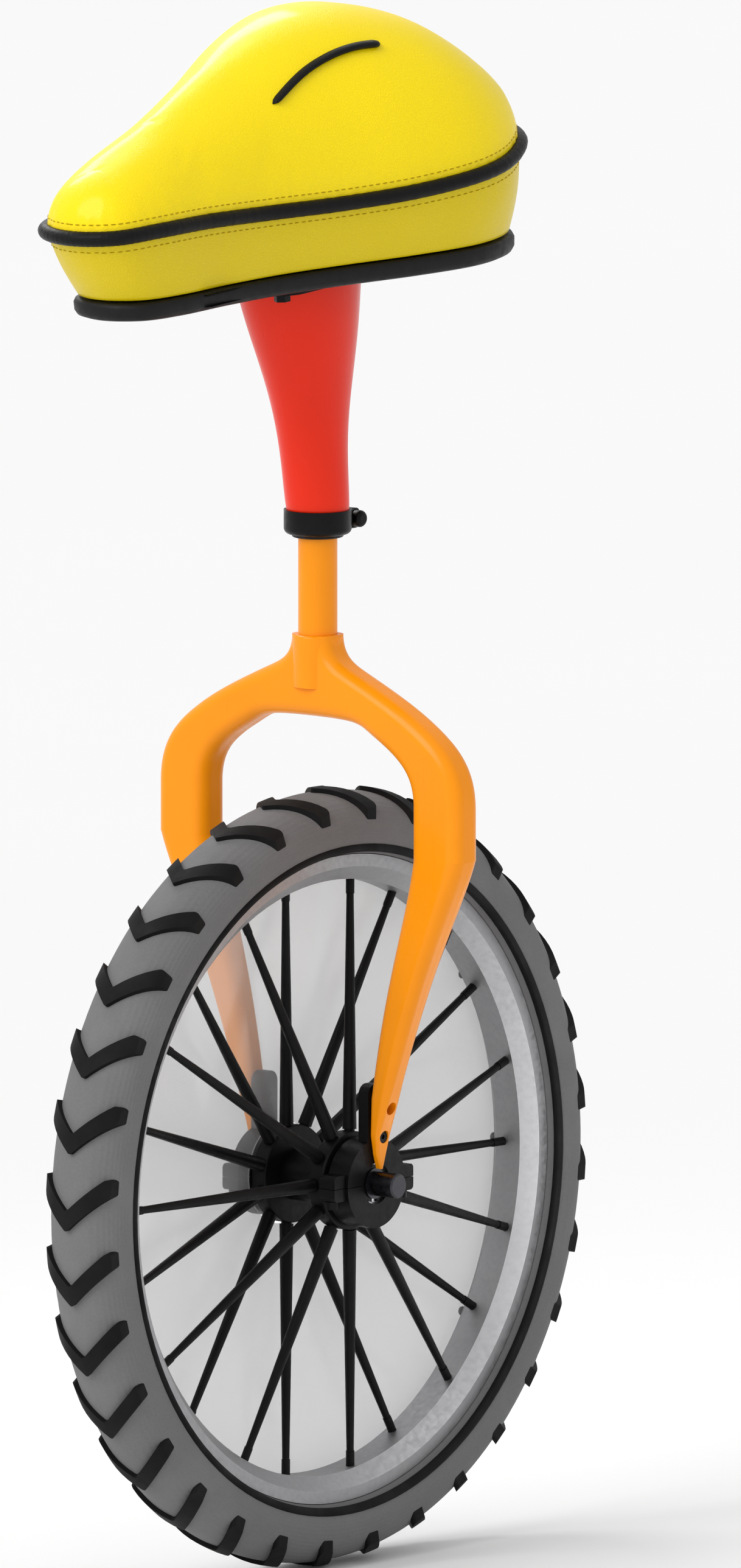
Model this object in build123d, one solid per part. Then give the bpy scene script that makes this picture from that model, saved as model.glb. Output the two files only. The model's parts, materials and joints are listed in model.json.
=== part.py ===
from build123d import *
import os
from math import atan2, cos, degrees, radians, sin

# Unicycle: 20 inch wheel, forged fork, tapered seat post and padded saddle.
#
# Millimetres.  +X is forward (the saddle's nose), +Y is the unicycle's left,
# +Z is up.  The origin is on the ground, straight under the wheel's axle.
# Wheel parts are drawn about the world Y axis, with x as the radius, and are
# lifted to the axle height as they are written.

# ---- wheel ------------------------------------------------------------
LUG_R = 254.0            # outside radius over the tread lugs: a 20 inch tyre
AXLE_Z = LUG_R           # the wheel stands on the ground
LUG_H = 3.0              # lug height at the middle of the tread
CARCASS_R = LUG_R - LUG_H
TYRE_HALF = 28.5         # half the tyre's width
TYRE_WALL = 3.4
SECTION_R = 226.0        # radius at which the tyre is widest
LUGS = 32
LUG_WIDTH = 10.0
LUG_REACH = 27.0         # how far each lug arm runs to the side
LUG_SWEEP = 24.0         # how far each lug arm trails behind its apex
LUG_WRAP = 4.0           # how far the lugs stand out at the tyre's widest
GUARD_R = 216.0          # the bead that guards the rim's edge
GUARD_Y = 24.6
GUARD_ROUND = 3.1
BEAD_R = 211.6
BEAD_Y = 19.5
TUBE_R = 228.6           # the inner tube's middle
RIM_TIP_R = 211.0
SEAT_R = 203.0
RIM_INNER_R = 194.0
RIM_HALF = 19.0
FLANGE_T = 2.0
SPOKES = 22
SPOKE_HUB_R = 20.0
SPOKE_HUB_Y = 24.0
SPOKE_RIM_R = 196.0
SPOKE_RIM_Y = 4.0
SPOKE_ROOT_R = 4.6
SPOKE_TIP_R = 2.4
HUB_FLANGE_R = 32.0
HUB_FLANGE_T = 12.0
VALVE_ANGLE = 7.5 * 360.0 / SPOKES    # the valve stands between spokes 7 and 8

# ---- axle and bearings --------------------------------------------------
AXLE_R = 10.0
CRANK_SEAT_R = 7.95
CRANK_SEAT_Y = 48.2      # where each crank seat starts
AXLE_END_Y = 68.0
BEARING_Y = 40.0
BEARING_W = 12.0
BEARING_R = 21.0
PITCH_R = 15.5
BALL_R = 3.1
BALLS = 9
HOUSING_IN_Y = 32.0
HOUSING_OUT_Y = 49.0
HOUSING_R = 29.0
CAP_GAP = 0.4
CAP_BOLT_X = 34.5

# ---- fork ---------------------------------------------------------------
STEM_R = 12.7
STEM_WALL = 2.3
STEM_BOTTOM = 566.0      # the stem is pressed this deep into the crown
STEM_TOP = 775.0
NECK_R = 16.5
NECK_BOTTOM = 574.0
NECK_TOP = 608.0
ARCH_TOP = 555.0
ARCH_HALF = 86.0
SHOULDER_HALF = 126.0
SHOULDER_Z = 503.0
CROWN_D = 26.0
SEAM_Z = 470.0           # where each leg enters the crown

# ---- seat post and clamp ------------------------------------------------
POST_BOTTOM = 674.0
POST_TOP = 862.0
POST_SKIRT_R = 17.0
POST_BORE_R = 15.0
SLIDE_FIT = 0.06         # the bushes' clearance on the stem
COLLAR_R = 22.0
COLLAR_Z = 673.0
COLLAR_H = 16.0
CLAMP_Z = COLLAR_Z + COLLAR_H / 2
EAR_X = -27.0
SLIT = 2.5
PIVOT_Y = -15.5
LEVER_L = 48.0

# ---- saddle -------------------------------------------------------------
SADDLE_X = 52.5
SADDLE_Z = 849.2
SADDLE_TILT = 3.75       # degrees, nose down
SADDLE_HALF_L = 192.0
EDGE_H = 55.0            # height of the piped edge over the saddle's base plane
PAN_HALF_T = 6.0
DOME_H = 111.0
COVER_T = 2.5
PLATE_T = 4.0
# half the saddle's width and its crown height, as a share of DOME_H, by place
SADDLE_STATIONS = (
    (-190.0, 22.0, 0.12),
    (-176.0, 60.0, 0.46),
    (-150.0, 91.0, 0.72),
    (-100.0, 107.0, 0.94),
    (-45.0, 93.0, 1.00),
    (0.0, 74.0, 0.93),
    (50.0, 56.0, 0.74),
    (100.0, 46.0, 0.54),
    (150.0, 41.0, 0.36),
    (180.0, 30.0, 0.20),
    (190.0, 13.0, 0.08),
)

ON_BASE = (Align.CENTER, Align.CENTER, Align.MIN)
written = []


def save(name, shape):
    """Write one node, as one solid or a group of separate solids."""
    solids = shape.solids() if hasattr(shape, "solids") else [shape]
    whole = Compound(children=list(solids)) if len(solids) > 1 else solids[0]
    whole.label = name
    export_step(whole, f"parts/{name}.step")
    written.append(name)


def ring(r_in, r_out, y0, y1):
    """A plain ring about the Y axis, from y0 to y1."""
    section = make_face(Polyline((r_in, y0), (r_out, y0), (r_out, y1), (r_in, y1), close=True))
    return revolve(section, Axis.Y, 360)


def rod(radius, start, end):
    """A round rod between two points."""
    a, b = Vector(*start), Vector(*end)
    place = Plane(origin=a, z_dir=b - a)
    return place * Cylinder(radius, (b - a).length, align=ON_BASE)


def up(shape):
    """Lift a wheel part to the axle."""
    return Pos(0, 0, AXLE_Z) * shape


def both(shape):
    """A left-hand piece and its mirror image on the right."""
    return Compound(children=list(shape.solids()) + list(mirror(shape, about=Plane.XZ).solids()))


def around(shape, angle):
    """Turn a wheel part from +X towards +Z."""
    return Rot(0, -angle, 0) * shape


# ---- tyre ---------------------------------------------------------------
def half_section(crown_r, half, heel, toe):
    """Open wire of a tyre skin: sidewall, crown, sidewall, from -Y to +Y."""
    crown = EllipticalCenterArc((SECTION_R, 0), crown_r - SECTION_R, half, start_angle=-90, arc_size=180)
    upper = TangentArc((SECTION_R, half), (heel, toe), tangent=(-1, 0))
    lower = TangentArc((SECTION_R, -half), (heel, -toe), tangent=(-1, 0))
    return crown, upper, lower


def make_tyre():
    outside = half_section(CARCASS_R, TYRE_HALF, BEAD_R, BEAD_Y)
    inside = half_section(CARCASS_R - TYRE_WALL - 0.2, TYRE_HALF - TYRE_WALL, 212.5, 15.8)
    edges = [*outside, *inside]
    for s in (1, -1):
        edges.append(
            Polyline(
                (BEAD_R, s * BEAD_Y),
                (211.3, s * 16.9),
                (SEAT_R + 0.1, s * 16.9),
                (SEAT_R + 0.1, s * 11.5),
                (208.5, s * 11.5),
                (212.5, s * 15.8),
            )
        )
    carcass = revolve(make_face(edges), Axis.Y, 360)
    guard = revolve(Pos(GUARD_R, GUARD_Y) * Circle(GUARD_ROUND), Axis.Y, 360)
    carcass = carcass + guard + mirror(guard, about=Plane.XZ)

    high, low = LUG_R - SECTION_R, CARCASS_R - SECTION_R - 1
    wide, narrow = TYRE_HALF + LUG_WRAP, TYRE_HALF - 1
    outer = EllipticalCenterArc((SECTION_R, 0), high, wide, start_angle=-90, arc_size=180)
    inner = EllipticalCenterArc((SECTION_R, 0), low, narrow, start_angle=-90, arc_size=180)
    ends = [Line((SECTION_R, s * wide), (SECTION_R, s * narrow)) for s in (1, -1)]
    band = revolve(make_face([outer, inner] + ends), Axis.Y, 360)
    half_w = LUG_WIDTH / 2 / cos(atan2(LUG_SWEEP, LUG_REACH))
    chevron = make_face(
        Polyline(
            (-half_w, 0),
            (LUG_SWEEP - half_w, LUG_REACH),
            (LUG_SWEEP + half_w, LUG_REACH),
            (half_w, 0),
            (LUG_SWEEP + half_w, -LUG_REACH),
            (LUG_SWEEP - half_w, -LUG_REACH),
            close=True,
        )
    )
    chevron = fillet(chevron.vertices(), 2.2)
    # the outline's x runs along the tread (+Z here) and its y across it
    tread_plane = Plane(origin=(SECTION_R + 2, 0, 0), x_dir=(0, 0, 1), z_dir=(-1, 0, 0))
    prism = extrude(tread_plane * chevron, -40)
    lug = band & prism
    lugs = [around(lug, 360.0 / LUGS * i) for i in range(LUGS)]
    return carcass + lugs


def make_tube():
    outer = revolve(Pos(TUBE_R, 0) * Ellipse(18.2, 23.8), Axis.Y, 360)
    return outer - revolve(Pos(TUBE_R, 0) * Ellipse(17.0, 22.6), Axis.Y, 360)


# ---- rim and spokes -------------------------------------------------------
def spoke_place(i):
    """Frame of spoke i: origin on the hub, +Z out along the spoke."""
    side = 1 if i % 2 == 0 else -1
    plane = Plane(
        origin=(SPOKE_HUB_R, side * SPOKE_HUB_Y, 0),
        x_dir=(0, 0, 1),
        z_dir=(SPOKE_RIM_R - SPOKE_HUB_R, side * (SPOKE_RIM_Y - SPOKE_HUB_Y), 0),
    )
    return Rot(0, -360.0 / SPOKES * i, 0) * plane.location


SPOKE_STRETCH = 1 / cos(atan2(SPOKE_HUB_Y - SPOKE_RIM_Y, SPOKE_RIM_R - SPOKE_HUB_R))


def along(radius):
    """Distance along a spoke at which it reaches this radius of the wheel."""
    return (radius - SPOKE_HUB_R) * SPOKE_STRETCH


def stub(radius, from_r, to_r):
    """A round length of spoke between two radii of the wheel."""
    length = along(to_r) - along(from_r)
    return Pos(0, 0, along(from_r)) * Cylinder(radius, length, align=ON_BASE)


def make_spoke():
    body_from, body_to = 32.9, 184.0
    body = Pos(0, 0, along(body_from)) * Cone(
        SPOKE_ROOT_R,
        SPOKE_TIP_R,
        along(body_to) - along(body_from),
        align=ON_BASE,
    )
    return stub(3.45, 22.2, 33.0) + body + stub(1.5, 183.9, 196.5)


def make_nipple():
    body = stub(2.8, 184.1, 196.4) + stub(3.6, 196.3, 198.2)
    return body - stub(1.55, 183.0, 199.0)


def make_rim():
    inside = RIM_HALF - FLANGE_T
    out = [(RIM_INNER_R, 10), (SEAT_R, RIM_HALF), (RIM_TIP_R, RIM_HALF), (RIM_TIP_R, inside)]
    out += [(SEAT_R, inside), (SEAT_R, 9.5), (200.5, 8)]
    profile = make_face(Polyline(*out, *[(r, -y) for r, y in reversed(out)], close=True))
    hollow = [(195.8, 9.2), (201.2, 14.6), (201.2, 9.8), (198.7, 8.4)]
    cavity = make_face(Polyline(*hollow, *[(r, -y) for r, y in reversed(hollow)], close=True))
    rim = revolve(profile, Axis.Y, 360) - revolve(cavity, Axis.Y, 360)
    for i in range(SPOKES):
        rim -= spoke_place(i) * stub(2.9, 190.0, 197.0)
        rim -= spoke_place(i) * stub(3.9, 197.0, 206.0)
    for i in range(DISC_SCREWS):
        rim -= at_disc_screw(i, rod(1.52, (DISC_SCREW_R, -16, 0), (DISC_SCREW_R, -22, 0)))
    return rim - around(rod(3.3, (185, 0, 0), (207, 0, 0)), VALVE_ANGLE)


def make_valve():
    stem = rod(3.0, (171, 0, 0), (209.5, 0, 0)) + rod(7.0, (209.2, 0, 0), (210.2, 0, 0))
    nut = rod(6.0, (190.4, 0, 0), (193.9, 0, 0)) - rod(3.05, (189, 0, 0), (195, 0, 0))
    cap = rod(4.2, (165, 0, 0), (179, 0, 0)) - rod(3.05, (170.9, 0, 0), (180, 0, 0))
    cap = fillet(cap.edges().filter_by(GeomType.CIRCLE).sort_by(Axis.X)[0], 1.5)
    return [around(piece, VALVE_ANGLE) for piece in (stem, nut, cap)]


def make_tape():
    tape = ring(200.6, 201.3, -7.8, 7.8)
    return tape - around(rod(3.3, (195, 0, 0), (205, 0, 0)), VALVE_ANGLE)


# ---- disc cover -----------------------------------------------------------
DISC_IN_R = 33.5
DISC_IN_Y = -30.0
DISC_LAND_R = 200.0
DISC_LAND_Y = -19.1      # the land lies on the rim's right edge
DISC_SCREW_R = 205.0
DISC_OUT_R = 208.5
DISC_T = 1.2
DISC_SCREWS = 11


def at_disc_screw(i, shape):
    """Turn a wheel part to the place of one of the disc's screws."""
    return around(shape, 360.0 / DISC_SCREWS * (i + 0.5))


def make_disc():
    def skin(offset):
        start, middle, end = (DISC_IN_R, DISC_IN_Y), (120, -27.6), (DISC_LAND_R, DISC_LAND_Y)
        return ThreePointArc(*[(r, y - offset) for r, y in (start, middle, end)])

    inner, outer = skin(0), skin(DISC_T)
    land = Polyline(
        (DISC_LAND_R, DISC_LAND_Y),
        (DISC_OUT_R, DISC_LAND_Y),
        (DISC_OUT_R, DISC_LAND_Y - DISC_T),
        (DISC_LAND_R, DISC_LAND_Y - DISC_T),
    )
    edge = Line((DISC_IN_R, DISC_IN_Y), (DISC_IN_R, DISC_IN_Y - DISC_T))
    disc = revolve(make_face([inner, outer, land, edge]), Axis.Y, 360)
    for i in range(DISC_SCREWS):
        disc -= at_disc_screw(i, rod(1.6, (DISC_SCREW_R, -18, 0), (DISC_SCREW_R, -22, 0)))
    return disc


def make_disc_screw(i):
    shank = rod(1.5, (DISC_SCREW_R, -17.4, 0), (DISC_SCREW_R, -20.4, 0))
    screw = shank + rod(3.0, (DISC_SCREW_R, -20.35, 0), (DISC_SCREW_R, -22.2, 0))
    screw = fillet(screw.edges().filter_by(GeomType.CIRCLE).sort_by(Axis.Y)[0], 1.2)
    return at_disc_screw(i, screw)


# ---- hub ------------------------------------------------------------------
def make_hub():
    half_t = HUB_FLANGE_T / 2
    flange = ring(AXLE_R, HUB_FLANGE_R, SPOKE_HUB_Y - half_t, SPOKE_HUB_Y + half_t)
    flange = fillet(flange.edges().filter_by(GeomType.CIRCLE).group_by(SortBy.RADIUS)[-1], 1.5)
    collar = ring(AXLE_R, 13.4, 29.9, BEARING_Y - BEARING_W / 2)
    hub = ring(AXLE_R, 17.0, -19, 19) + flange + collar
    hub += mirror(flange + collar, about=Plane.XZ)
    for i in range(SPOKES):
        hub -= spoke_place(i) * stub(3.5, 22.0, 36.0)
    return hub - Pos(0, 0, 10.0) * Box(5.0, 28.0, 5.2)


def make_axle():
    axle = rod(AXLE_R, (0, -CRANK_SEAT_Y, 0), (0, CRANK_SEAT_Y, 0))
    axle += rod(CRANK_SEAT_R, (0, -AXLE_END_Y, 0), (0, AXLE_END_Y, 0))
    axle = chamfer(axle.edges().filter_by(GeomType.CIRCLE).sort_by(Axis.Y)[0], 1.0)
    axle = chamfer(axle.edges().filter_by(GeomType.CIRCLE).sort_by(Axis.Y)[-1], 1.0)
    for s in (1, -1):
        axle -= ring(9.2, 11.0, *sorted((s * 46.1, s * 47.3)))
    return axle - Pos(0, 0, 10.0) * Box(5.0, 28.0, 5.0)


def make_key():
    return Pos(0, 0, 10.0) * Box(4.96, 27.9, 4.96)


def make_circlips():
    clip = ring(9.25, 12.2, 46.15, 47.25)
    clip -= Pos(0, 46.7, -11) * Box(5, 3, 6)
    return both(clip)


def groove(side):
    return revolve(Pos(PITCH_R, side * BEARING_Y) * Circle(BALL_R + 0.3), Axis.Y, 360)


def make_inner_races():
    race = ring(AXLE_R, 13.5, BEARING_Y - BEARING_W / 2, BEARING_Y + BEARING_W / 2) - groove(1)
    return both(race)


def make_outer_races():
    race = ring(17.5, BEARING_R, BEARING_Y - BEARING_W / 2, BEARING_Y + BEARING_W / 2) - groove(1)
    return both(race)


def make_seals():
    reach = BEARING_W / 2 - 0.5
    seals = []
    for s in (1, -1):
        middle = BEARING_Y + s * reach
        seals += both(ring(13.9, 17.5, middle - 0.4, middle + 0.4)).solids()
    return Compound(children=seals)


def make_balls(side):
    ball = Pos(PITCH_R, side * BEARING_Y, 0) * Sphere(BALL_R)
    return Compound(children=[around(ball, 360.0 / BALLS * i).solids()[0] for i in range(BALLS)])


def make_cage(side):
    cage = ring(14.7, 16.3, side * BEARING_Y - 4.2, side * BEARING_Y + 4.2)
    for i in range(BALLS):
        pocket = rod(BALL_R + 0.15, (12, side * BEARING_Y, 0), (19, side * BEARING_Y, 0))
        cage -= around(pocket, 360.0 / BALLS * i)
    return cage


# ---- bearing housings and caps (left one; the right is its mirror) ---------
def make_housing_ring():
    body = ring(BEARING_R, HOUSING_R, HOUSING_IN_Y, HOUSING_OUT_Y)
    body += ring(13.5, BEARING_R + 0.5, BEARING_Y + BEARING_W / 2 + 0.05, HOUSING_OUT_Y)
    ears = Box(2 * CAP_BOLT_X + 11, 13.0, 17.0)
    ears = Pos(0, (HOUSING_IN_Y + HOUSING_OUT_Y) / 2, 0) * fillet(ears.edges().filter_by(Axis.Y), 3.0)
    bore = rod(BEARING_R, (0, HOUSING_IN_Y - 1, 0), (0, BEARING_Y + BEARING_W / 2 + 0.05, 0))
    bore += rod(13.5, (0, HOUSING_IN_Y - 1, 0), (0, HOUSING_OUT_Y + 1, 0))
    return (body + ears) - bore


def make_housing():
    tongue = Pos(0, HOUSING_OUT_Y - 4, 45) * Box(17.0, 8.0, 40.0)
    tongue = fillet(tongue.edges().filter_by(Axis.Y).group_by(Axis.Z)[-1], 7.0)
    tongue -= rod(BEARING_R + 2, (0, 30, 0), (0, 60, 0))
    upper = make_housing_ring() + tongue
    upper -= Pos(0, 40, -50 + CAP_GAP / 2) * Box(120, 60, 100)
    for x in (CAP_BOLT_X, -CAP_BOLT_X):
        upper -= rod(2.55, (x, 40.5, -20), (x, 40.5, 7.0))
    for z in LEG_SCREW_Z:
        upper -= rod(2.05, (0, 35, z - AXLE_Z), (0, 60, z - AXLE_Z))
    return upper


def make_cap():
    lower = make_housing_ring() - Pos(0, 40, 50 - CAP_GAP / 2) * Box(120, 60, 100)
    for x in (CAP_BOLT_X, -CAP_BOLT_X):
        lower -= rod(2.75, (x, 40.5, -20), (x, 40.5, 7.0))
    return lower


def make_cap_bolt(x):
    bolt = rod(2.5, (x, 40.5, -9.0), (x, 40.5, 6.5))
    head = rod(4.4, (x, 40.5, -13.6), (x, 40.5, -8.6))
    head -= Pos(x, 40.5, -13.6) * extrude(RegularPolygon(2.2, 6), 2.6)
    return bolt + head


# ---- fork -----------------------------------------------------------------
LEG_SCREW_Z = (AXLE_Z + 31.0, AXLE_Z + 50.0)
LEG_MID = (ARCH_HALF + SHOULDER_HALF) / 2
LEG_W = SHOULDER_HALF - ARCH_HALF


def make_crown():
    outer = Spline(
        (NECK_R - 1, NECK_TOP),
        (34, 586),
        (100, 551),
        (SHOULDER_HALF, SHOULDER_Z),
        tangents=((0, -1), (0, -1)),
    )
    inner = Spline(
        (ARCH_HALF, SHOULDER_Z),
        (ARCH_HALF - 8, 527),
        (52, 546),
        (0, ARCH_TOP),
        tangents=((0, 1), (-1, 0)),
    )
    ends = Polyline(
        (SHOULDER_HALF, SHOULDER_Z),
        (SHOULDER_HALF, SEAM_Z),
        (ARCH_HALF, SEAM_Z),
        (ARCH_HALF, SHOULDER_Z),
    )
    close = Polyline((0, ARCH_TOP), (0, NECK_TOP), (NECK_R - 1, NECK_TOP))
    half = make_face([outer, inner, ends, close])
    whole = half + mirror(half, about=Plane.YZ)
    body = extrude(Plane.YZ * whole, CROWN_D / 2, both=True)
    rim_edges = body.faces().sort_by(Axis.X)[0].edges() + body.faces().sort_by(Axis.X)[-1].edges()
    keep = [e for e in rim_edges if SEAM_Z + 1 < e.center().Z < NECK_TOP - 1]
    body = fillet(keep, 9.0)
    neck = Pos(0, 0, NECK_BOTTOM) * Cylinder(NECK_R, NECK_TOP - NECK_BOTTOM, align=ON_BASE)
    body += fillet(neck.edges().sort_by(Axis.Z)[-1], 2.0)
    for s in (1, -1):
        body -= Pos(0, s * LEG_MID, SEAM_Z - 1) * spigot(0.05, 20.0)
    return body - Pos(0, 0, STEM_BOTTOM) * Cylinder(STEM_R, 60, align=ON_BASE)


def spigot(extra, height):
    """The tenon on top of a leg, or with some extra the pocket for it."""
    section = RectangleRounded(CROWN_D - 10 + 2 * extra, LEG_W - 12 + 2 * extra, 5.0)
    return extrude(section, height)


# height, middle in y, size in x, size in y of the leg's cross-section
LEG_SECTIONS = (
    (SEAM_Z, LEG_MID, CROWN_D, LEG_W),
    (448.0, 99.5, 25.0, 36.0),
    (415.0, 87.5, 23.0, 30.0),
    (377.0, 74.5, 21.0, 24.5),
    (338.0, 63.3, 19.0, 19.0),
    (310.0, 56.5, 17.5, 14.0),
)
BLADE_SECTIONS = (
    (310.0, 56.5, 17.5, 14.0),
    (286.0, 52.3, 14.5, 6.6),
    (273.0, 51.5, 9.0, 5.0),
    (264.0, 51.5, 2.4, 4.6),
)


def leg_faces(sections):
    faces = []
    for z, y, dx, dy in sections:
        corner = min(dx, dy) * 0.36
        faces.append(Pos(0, y, z) * RectangleRounded(dx, dy, corner))
    return faces


def make_leg():
    leg = loft(leg_faces(LEG_SECTIONS)) + loft(leg_faces(BLADE_SECTIONS), ruled=True)
    leg -= Pos(0, HOUSING_OUT_Y - 20, 300) * Box(60, 40.05, 120)
    leg += Pos(0, LEG_MID, SEAM_Z - 0.5) * spigot(0, 17.0)
    for z in LEG_SCREW_Z:
        leg -= rod(2.2, (0, 45, z), (0, 80, z))
        leg -= rod(4.2, (0, HOUSING_OUT_Y + 3.6, z), (0, 80, z))
    return leg


def make_leg_screw(z):
    face_y = 54.6
    screw = rod(2.0, (0, 41.5, z), (0, 53.2, z)) + rod(4.0, (0, HOUSING_OUT_Y + 3.65, z), (0, face_y, z))
    return screw - Plane(origin=(0, face_y, z), z_dir=(0, -1, 0)) * extrude(RegularPolygon(1.7, 6), 1.2)


def make_stem():
    tube = Pos(0, 0, STEM_BOTTOM) * Cylinder(STEM_R, STEM_TOP - STEM_BOTTOM, align=ON_BASE)
    bore = Pos(0, 0, STEM_BOTTOM - 6) * Cylinder(STEM_R - STEM_WALL, 300, align=ON_BASE)
    keyway = Pos(0, -STEM_R, 700) * Box(3.3, 2.8, 160)
    return tube - bore - keyway


def make_stem_plug():
    plug = Pos(0, 0, STEM_TOP - 12) * Cylinder(STEM_R - STEM_WALL, 12, align=ON_BASE)
    head = Pos(0, 0, STEM_TOP) * Cylinder(STEM_R - 0.6, 2, align=ON_BASE)
    return plug + fillet(head.edges().sort_by(Axis.Z)[-1], 1.2)


# ---- seat post ------------------------------------------------------------
# height, middle in x, half length in x, half width in y
POST_SECTIONS = (
    (689.0, 0.0, 20.5, 20.3),
    (715.0, 2.8, 22.5, 20.8),
    (750.0, 6.5, 26.5, 22.8),
    (785.0, 11.0, 34.5, 28.0),
    (815.0, 16.0, 42.5, 32.5),
    (POST_TOP, 20.0, 50.0, 37.5),
)
SADDLE_PLANE = Plane(
    origin=(SADDLE_X, 0, SADDLE_Z),
    x_dir=(cos(radians(SADDLE_TILT)), 0, -sin(radians(SADDLE_TILT))),
    z_dir=(sin(radians(SADDLE_TILT)), 0, cos(radians(SADDLE_TILT))),
)
PLATE_TOP = -PAN_HALF_T
PLATE_BOTTOM = PLATE_TOP - PLATE_T
PLATE_L = 126.0
PLATE_W = 84.0
BOLT_DX = 54.0
BOLT_DY = 28.0
PLATE_X = -36.0          # the plate's middle, in the saddle's own frame


def post_loft(inset):
    return loft([Pos(x, 0, z) * Ellipse(a - inset, b - inset) for z, x, a, b in POST_SECTIONS])


def make_post():
    body = post_loft(0)
    body += Pos(0, 0, POST_BOTTOM) * Cylinder(POST_SKIRT_R, 18, align=ON_BASE)
    body -= post_loft(5.0) & (Pos(0, 0, 850) * Box(200, 200, 220))
    body -= Pos(0, 0, POST_BOTTOM - 1) * Cylinder(POST_BORE_R, 90, align=ON_BASE)
    body -= Pos(-20, 0, POST_BOTTOM + 12) * Box(20, SLIT, 26)
    body -= rod(2.4, (-10, 0, POST_BOTTOM + 26), (-30, 0, POST_BOTTOM + 26))
    trim = SADDLE_PLANE * (Pos(0, 0, PLATE_BOTTOM + 50) * Box(400, 200, 100))
    return body - trim


def bush(z0, z1):
    piece = Pos(0, 0, z0) * Cylinder(POST_BORE_R, z1 - z0, align=ON_BASE)
    return piece - Pos(0, 0, z0 - 5) * Cylinder(STEM_R + SLIDE_FIT, z1 - z0 + 10, align=ON_BASE)


def make_lower_bush():
    flange = Pos(0, 0, POST_BOTTOM - 3) * Cylinder(POST_SKIRT_R - 0.1, 3, align=ON_BASE)
    flange = fillet(flange.edges().sort_by(Axis.Z)[0], 1.5)
    flange -= Pos(0, 0, POST_BOTTOM - 5) * Cylinder(STEM_R + SLIDE_FIT, 9, align=ON_BASE)
    return bush(POST_BOTTOM, 697.0) + flange


def make_upper_bush():
    key = Pos(0, -STEM_R - 0.2, 716) * Box(3.0, 2.2, 16)
    return bush(708.0, 724.0) + key


def make_collar():
    body = Pos(0, 0, COLLAR_Z) * Cylinder(COLLAR_R, COLLAR_H, align=ON_BASE)
    body = fillet(body.edges().filter_by(GeomType.CIRCLE).sort_by(Axis.Z)[0], 4.0)
    ears = Pos(-26.0, 0, CLAMP_Z) * Box(14.0, 16.0, 13.0)
    ears = fillet(ears.edges().filter_by(Axis.Y).group_by(Axis.X)[0], 4.0)
    body += ears
    body -= Pos(0, 0, COLLAR_Z - 1) * Cylinder(POST_SKIRT_R + 0.02, 30, align=ON_BASE)
    body -= Pos(-26, 0, COLLAR_Z + 8) * Box(24, SLIT, 30)
    return body - rod(2.6, (EAR_X, -20, CLAMP_Z), (EAR_X, 20, CLAMP_Z))


def make_skewer():
    shank = rod(2.5, (EAR_X, -10.2, CLAMP_Z), (EAR_X, 13.5, CLAMP_Z))
    eye = rod(4.0, (EAR_X - 2, PIVOT_Y, CLAMP_Z), (EAR_X + 2, PIVOT_Y, CLAMP_Z))
    eye += Pos(EAR_X, (PIVOT_Y - 9.0) / 2, CLAMP_Z) * Box(4.0, -9.0 - PIVOT_Y, 5.0)
    return shank + eye - rod(1.65, (EAR_X - 5, PIVOT_Y, CLAMP_Z), (EAR_X + 5, PIVOT_Y, CLAMP_Z))


def make_clamp_nut():
    nut = rod(5.5, (EAR_X, 9.1, CLAMP_Z), (EAR_X, 16.0, CLAMP_Z))
    nut = fillet(nut.edges().filter_by(GeomType.CIRCLE).sort_by(Axis.Y)[-1], 3.0)
    return nut - rod(2.5, (EAR_X, 5, CLAMP_Z), (EAR_X, 13.6, CLAMP_Z))


def make_clamp_washers():
    left = rod(6.2, (EAR_X, 8.05, CLAMP_Z), (EAR_X, 9.05, CLAMP_Z))
    right = rod(5.6, (EAR_X, -10.2, CLAMP_Z), (EAR_X, -8.05, CLAMP_Z))
    hole = rod(2.6, (EAR_X, -20, CLAMP_Z), (EAR_X, 20, CLAMP_Z))
    flat = Pos(EAR_X, -10.0, CLAMP_Z) * Box(4.2, 2.4, 5.4)
    return Compound(children=[*(left - hole).solids(), *(right - hole - flat).solids()])


def make_pivot_pin():
    return rod(1.6, (EAR_X - 6.2, PIVOT_Y, CLAMP_Z), (EAR_X + 6.2, PIVOT_Y, CLAMP_Z))


def make_lever():
    cam_y = PIVOT_Y + 0.4
    cam = rod(4.8, (EAR_X - 5.5, cam_y, CLAMP_Z), (EAR_X + 5.5, cam_y, CLAMP_Z))
    arm = Plane(origin=(EAR_X, PIVOT_Y - 2.4, CLAMP_Z - 1), z_dir=(0, 0, -1)) * loft(
        [
            RectangleRounded(11.0, 4.6, 1.6),
            Pos(0, 0, LEVER_L * 0.5) * RectangleRounded(9.0, 4.2, 1.6),
            Pos(0, 0, LEVER_L) * RectangleRounded(11.0, 3.6, 1.5),
        ]
    )
    slot = rod(6.2, (EAR_X - 2.2, PIVOT_Y, CLAMP_Z), (EAR_X + 2.2, PIVOT_Y, CLAMP_Z))
    hole = rod(1.65, (EAR_X - 9, PIVOT_Y, CLAMP_Z), (EAR_X + 9, PIVOT_Y, CLAMP_Z))
    return cam + arm - slot - hole


# ---- saddle (drawn in its own frame, then tilted and lifted) ---------------
LOW_SHIFT = -11.0        # the base sits further back than the piped edge
LOW_X = 0.92             # and is shorter
LOW_Y = 0.88             # and narrower
PIPING_H = 9.0
WELT_FROM = (-50.0, 60.0)
WELT_TO = (35.0, 43.0)
WELT_W = 9.0


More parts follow.
